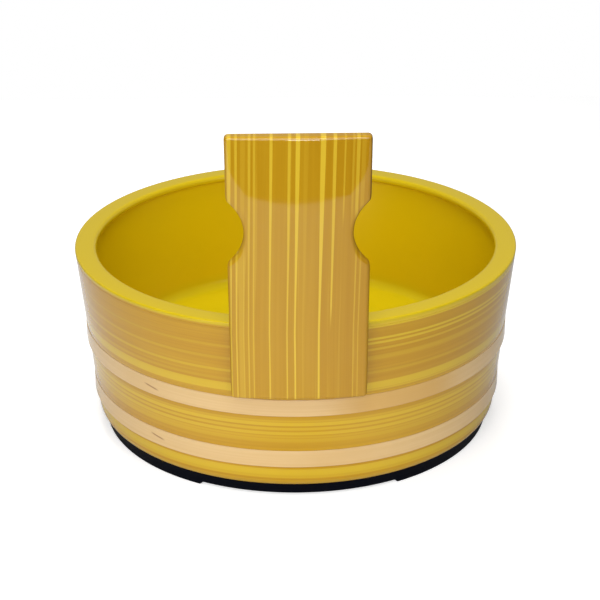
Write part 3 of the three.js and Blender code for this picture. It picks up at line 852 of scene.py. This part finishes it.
# Inner bowl: the yellow inside, its floor and the wide rim, a moulding set into the shell last.
# It is lacquered satin yellow. The rim covers the shell's top edge and is painted like the wall on
# its outside, and a ring under it centres the bowl in the shell.
BOWL_SLOPE = 0.121  # radius gained for each metre from the floor's corner to the rim
RIM_WIDTH = 0.0117
RIM_SEAM = 0.0001  # open joint between the rim and the shell's top edge
RIM_CROWN = 0.0002
RIM_OUTER_ROUND = 0.0011
RIM_INNER_ROUND = 0.0021
LIP_OVERHANG = 0.0023  # how far the rim's inner edge stands out over the inside wall
LIP_HEIGHT = 0.0046
LIP_ROUND = 0.0007
RIM_PAINT_EDGE = 0.0021  # how far the yellow comes down over the rim's outer edge
RIM_PAINT_FADE = 0.0004
RIB_DEPTH = 0.005  # the ring under the rim
RIB_BOTTOM = SHELL_TOP - RIB_DEPTH
RIB_WALL = 0.0018
BOWL_WALL = 0.0032
BOWL_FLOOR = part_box("inner_bowl")[0].z + BOWL_WALL
FLOOR_FILLET = 0.0053
RICH_YELLOW = srgb(217, 183, 2)  # inside wall
SOFT_YELLOW = srgb(208, 185, 12)  # floor
RIM_YELLOW = srgb(208, 180, 16)
CLOUD_STRENGTH = 0.15

lip_radius = RIM_RADIUS - RIM_WIDTH
lip_bottom = TUB_TOP - LIP_HEIGHT
lip_corner = (lip_radius, lip_bottom + LIP_OVERHANG / 2)
wall_fall = (LIP_OVERHANG + BOWL_SLOPE * (TUB_TOP - BOWL_FLOOR)) / (lip_bottom - BOWL_FLOOR)


def bowl_inside(height):
    """Radius of the bowl's inner face at a height, under the lip."""
    return lip_radius + LIP_OVERHANG - wall_fall * (lip_bottom - height)


bowl_bottom = BOWL_FLOOR - BOWL_WALL
under_rim = SHELL_TOP + RIM_SEAM
bowl_thickness = BOWL_WALL * math.hypot(1, BOWL_SLOPE)
floor_corner = (bowl_inside(BOWL_FLOOR), BOWL_FLOOR)
rim_inner = (lip_radius, TUB_TOP - RIM_CROWN)
rim_outer = (RIM_RADIUS, TUB_TOP - RIM_CROWN)
rim_quarter = RIM_WIDTH / 4
bottom_corner = (bowl_inside(bowl_bottom) + bowl_thickness, bowl_bottom)
bowl = turned_piece("yellow_bowl", [
    (POLE_RADIUS, BOWL_FLOOR),
    floor_corner,
    (bowl_inside(lip_bottom), lip_bottom),
    lip_corner,
    rim_inner,
    (lip_radius + rim_quarter, TUB_TOP - RIM_CROWN / 4),
    (lip_radius + 2 * rim_quarter, TUB_TOP),
    (lip_radius + 3 * rim_quarter, TUB_TOP - RIM_CROWN / 4),
    rim_outer,
    (wall_radius(under_rim), under_rim),
    (inside_shell(under_rim) - FIT, under_rim),
    (inside_shell(RIB_BOTTOM) - FIT, RIB_BOTTOM),
    (inside_shell(RIB_BOTTOM) - FIT - RIB_WALL, RIB_BOTTOM),
    (inside_shell(under_rim) - FIT - RIB_WALL, under_rim),
    (bowl_inside(under_rim) + bowl_thickness, under_rim),
    bottom_corner,
    (POLE_RADIUS, bowl_bottom),
])
close_pole(bowl, BOWL_FLOOR)
close_pole(bowl, bowl_bottom)
round_ring(bowl, floor_corner, FLOOR_FILLET, segments=10)
round_ring(bowl, bottom_corner, FLOOR_FILLET + BOWL_WALL, segments=8)
round_ring(bowl, lip_corner, LIP_ROUND, segments=4)
round_ring(bowl, rim_inner, RIM_INNER_ROUND, segments=8)
round_ring(bowl, rim_outer, RIM_OUTER_ROUND, segments=8)
finish_mesh(bowl)

yellow, tree, shader = new_material("satin_yellow_lacquer", **{**GLOSS, "Coat_Roughness": 0.25})
at = add_group(tree, tub_place)
cloud = cloudy(tree, at["Place"], scale=35, detail=3)
low_down = spread(tree, at["Height"], BOWL_FLOOR + 2 * FLOOR_FILLET, BOWL_FLOOR)
soft = calc(tree, "MULTIPLY_ADD", cloud, CLOUD_STRENGTH, low_down, clamp=True)
bowl_colour = mix_colour(tree, soft, RICH_YELLOW, SOFT_YELLOW)
high_up = spread(tree, at["Height"], TUB_TOP - 2 * RIM_INNER_ROUND, TUB_TOP - RIM_INNER_ROUND / 2)
bowl_colour = mix_colour(tree, high_up, bowl_colour, RIM_YELLOW)
paint_line = TUB_TOP - RIM_PAINT_EDGE
lower = spread(tree, at["Height"], paint_line + RIM_PAINT_FADE, paint_line - RIM_PAINT_FADE)
outer = calc(tree, "GREATER_THAN", at["Radius"], inside_shell(under_rim))
streaked_part = calc(tree, "MULTIPLY", lower, outer)
feed(tree, shader.inputs["Base Color"], mix_colour(tree, streaked_part, bowl_colour, wall_colour(tree)))
put_on_tub(bowl, yellow, "inner_bowl")

# Stage: a white table that ends a little way in front of the handle, so that the gloss of the handle
# shows the white table low down and the dark room above it. The table is painted greyer to the right
# as painted shade, so that the gloss shows less white on that side, and six soft lamps stand above it
# and in front of it.
TABLE_FRONT = -0.4005
TABLE_BACK = 0.6
TABLE_SIDE = 1.1
TABLE_WHITE = (0.88, 0.88, 0.88, 1)
TABLE_SHADED_GREY = (0.58, 0.58, 0.58, 1)
TABLE_SHADE_FROM = 0.02
TABLE_SHADE_TO = 0.2
TABLE_GLOW = 0.58  # for the camera only, so that the lit table is white and the shadow stays
WHITE = (1, 1, 1, 1)
bpy.ops.object.select_all(action="DESELECT")
bpy.ops.mesh.primitive_plane_add(size=1)
table = bpy.context.object
table.name = table.data.name = "table"
table.scale = (2 * TABLE_SIDE, TABLE_BACK - TABLE_FRONT, 1)
table.location = (0, (TABLE_BACK + TABLE_FRONT) / 2, 0)
bpy.ops.object.transform_apply(location=True, scale=True)
table_white = bpy.data.materials.new("table_white")
table_white.use_nodes = True
tree = table_white.node_tree
tree.nodes.clear()
place = add_node(tree, "ShaderNodeTexCoord").outputs["Object"]
part = add_node(tree, "ShaderNodeSeparateXYZ", place).outputs
# Painted shade: the table's white is painted greyer towards the right.
shaded_share = spread(tree, part["X"], TABLE_SHADE_FROM, TABLE_SHADE_TO)
shade = mix_colour(tree, shaded_share, TABLE_WHITE, TABLE_SHADED_GREY)
paper = add_node(tree, "ShaderNodeBsdfDiffuse", shade).outputs[0]
seen = add_node(tree, "ShaderNodeLightPath").outputs["Is Camera Ray"]
glow = add_node(tree, "ShaderNodeEmission", WHITE, calc(tree, "MULTIPLY", seen, TABLE_GLOW)).outputs[0]
both = add_node(tree, "ShaderNodeAddShader", paper, glow).outputs[0]
add_node(tree, "ShaderNodeOutputMaterial", both)
table.data.materials.append(table_white)

# The room is white to the camera, and gloss sees it grey: paler low down and behind the tub.
ROOM_LOW = 0.25
ROOM_HIGH = 0.12
ROOM_BEHIND = 0.2  # added to the grey behind the tub
world = bpy.data.worlds.new("studio")
bpy.context.scene.world = world
world.use_nodes = True
tree = world.node_tree
tree.nodes.clear()
ray = add_node(tree, "ShaderNodeLightPath").outputs
way = add_node(tree, "ShaderNodeTexCoord").outputs["Generated"]
part = add_node(tree, "ShaderNodeSeparateXYZ", way).outputs
front_room = spread(tree, part["Z"], 0.08, 0.3, ROOM_LOW, ROOM_HIGH)
backdrop = spread(tree, part["Y"], 0.1, 0.5, to_high=ROOM_BEHIND)
above_floor = spread(tree, part["Z"], -0.02, 0.04)
room = calc(tree, "MULTIPLY", above_floor, calc(tree, "ADD", front_room, backdrop))
shine = calc(tree, "MULTIPLY", room, ray["Is Glossy Ray"])
white = calc(tree, "MAXIMUM", ray["Is Camera Ray"], shine)
light = add_node(tree, "ShaderNodeBackground", WHITE, white).outputs[0]
add_node(tree, "ShaderNodeOutputWorld", light)


def add_softbox(name, place, width, depth, power):
    """An area light that faces the tub."""
    lamp = bpy.data.lights.new(name, "AREA")
    lamp.shape = "RECTANGLE"
    lamp.size = width
    lamp.size_y = depth
    lamp.energy = power
    holder = bpy.data.objects.new(name, lamp)
    holder.location = place
    aim = Vector((0, AXIS_Y, TUB_TOP / 2)) - Vector(place)
    holder.rotation_euler = aim.to_track_quat("-Z", "Y").to_euler()
    bpy.context.scene.collection.objects.link(holder)
    return holder


overhead = add_softbox("overhead_softbox", (-0.04, 0.2, 1.45), width=0.7, depth=0.7, power=15)
overhead.visible_glossy = False  # keeps its glare off the satin floor of the bowl
add_softbox("front_softbox", (-0.05, -1.3, 0.6), width=0.8, depth=0.5, power=6)
add_softbox("left_softbox", (-0.7, -1.1, 0.45), width=0.7, depth=0.5, power=3.8)
add_softbox("right_softbox", (0.7, -1.1, 0.7), width=0.7, depth=0.5, power=2.3)
add_softbox("high_softbox", (0, -1.0, 1.3), width=0.8, depth=0.4, power=6.5)
add_softbox("strip_lamp", (0.03, -1.3, 0.2), width=0.09, depth=0.4, power=1.2)

# Camera: it stands in front of the handle and looks down into the tub through a long lens,
# with the small roll of the photograph's view.
CAMERA_PLACE = Vector((-0.0101, AXIS_Y - 0.9037, TUB_TOP + 0.3532))
CAMERA_AIM = Vector((0.0023, AXIS_Y, TUB_TOP - 0.0382))
CAMERA_ROLL = math.radians(-0.273)
CAMERA_LENS = 106.45  # millimetres
SENSOR_WIDTH = 36
camera = bpy.data.cameras.new("camera")
camera.lens = CAMERA_LENS
camera.sensor_width = SENSOR_WIDTH
viewer = bpy.data.objects.new("camera", camera)
viewer.location = CAMERA_PLACE
viewer.rotation_euler = (CAMERA_AIM - CAMERA_PLACE).to_track_quat("-Z", "Y").to_euler()
viewer.rotation_euler.rotate_axis("Z", CAMERA_ROLL)
bpy.context.scene.collection.objects.link(viewer)
bpy.context.scene.camera = viewer
bpy.context.scene.view_settings.view_transform = "Standard"
